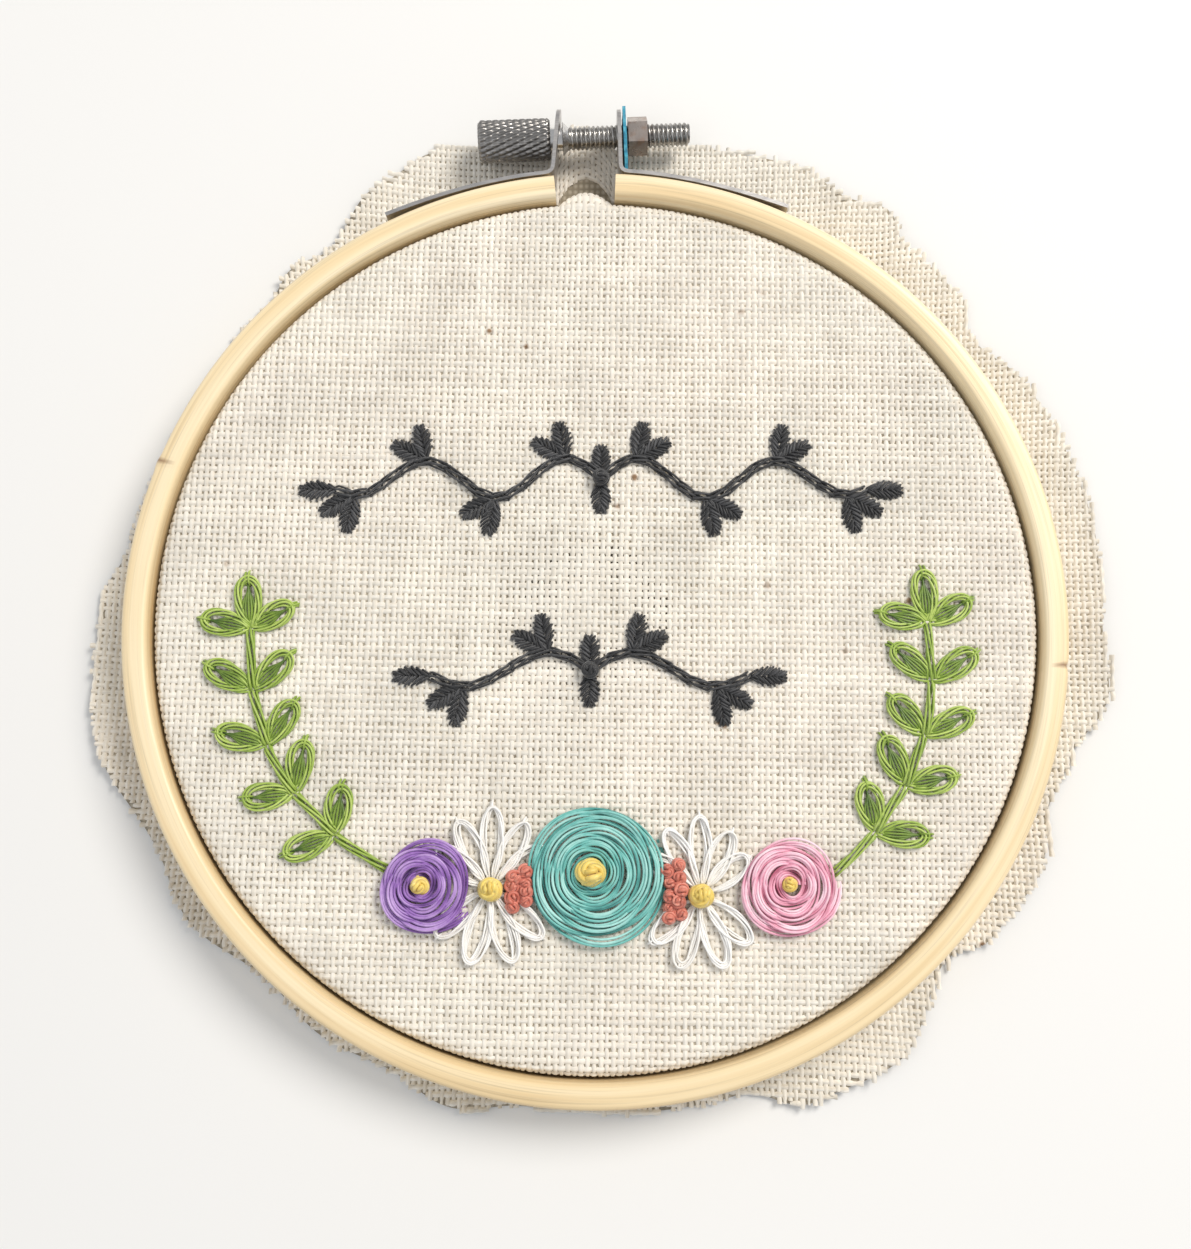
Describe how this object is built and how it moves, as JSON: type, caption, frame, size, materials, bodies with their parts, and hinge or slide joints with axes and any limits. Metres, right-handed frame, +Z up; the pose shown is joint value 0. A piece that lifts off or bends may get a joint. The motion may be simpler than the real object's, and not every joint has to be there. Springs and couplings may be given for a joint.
{
  "type": "hoop embroidery art, stitched cloth held in a split bamboo hoop",
  "caption": "Floral stitched cloth stretched in a round two-ring bamboo hoop with an uneven cloth skirt, steel ears and a knurled thumb screw that turns.",
  "frame": {"origin": "middle of the whole part's footprint, on the surface that it lies on", "axes": "+Z up, out of the stitched face; +Y across the face towards the thumb screw; +X to the right, seen from above"},
  "size_m": [0.1692, 0.168, 0.0099],
  "materials": {
    "outer_bamboo": "pale honey bamboo, smooth, fine grain along the ring",
    "inner_bamboo": "pale bamboo, smooth",
    "cloth": "cream coarse plain-weave cotton with small open holes",
    "bracket_steel": "bent sheet steel, slightly dull",
    "rivet_steel": "domed, slightly dull",
    "screw_steel": "dark plated steel, knurled knob and metric thread",
    "nut_steel": "brownish plated steel",
    "blue_film": "thin torn teal-blue film"
  },
  "bodies": {
    "hoop": {"outer_ring": "outer_bamboo", "inner_ring": "inner_bamboo", "cloth": "cloth", "bracket_left": "bracket_steel", "bracket_right": "bracket_steel", "rivet_left_1": "rivet_steel", "rivet_left_2": "rivet_steel", "rivet_right_1": "rivet_steel", "rivet_right_2": "rivet_steel", "hex_nut": "nut_steel", "blue_film": "blue_film"},
    "screw": {"thumb_screw": "screw_steel"}
  },
  "joints": [
    {"name": "thumb_screw_turn", "type": "hinge", "parent": "hoop", "child": "screw", "pos_m": [-0.00089, 0.07931, 0.0056], "axis": [0.9992, 0.0401, 0], "continuous": true}
  ]
}
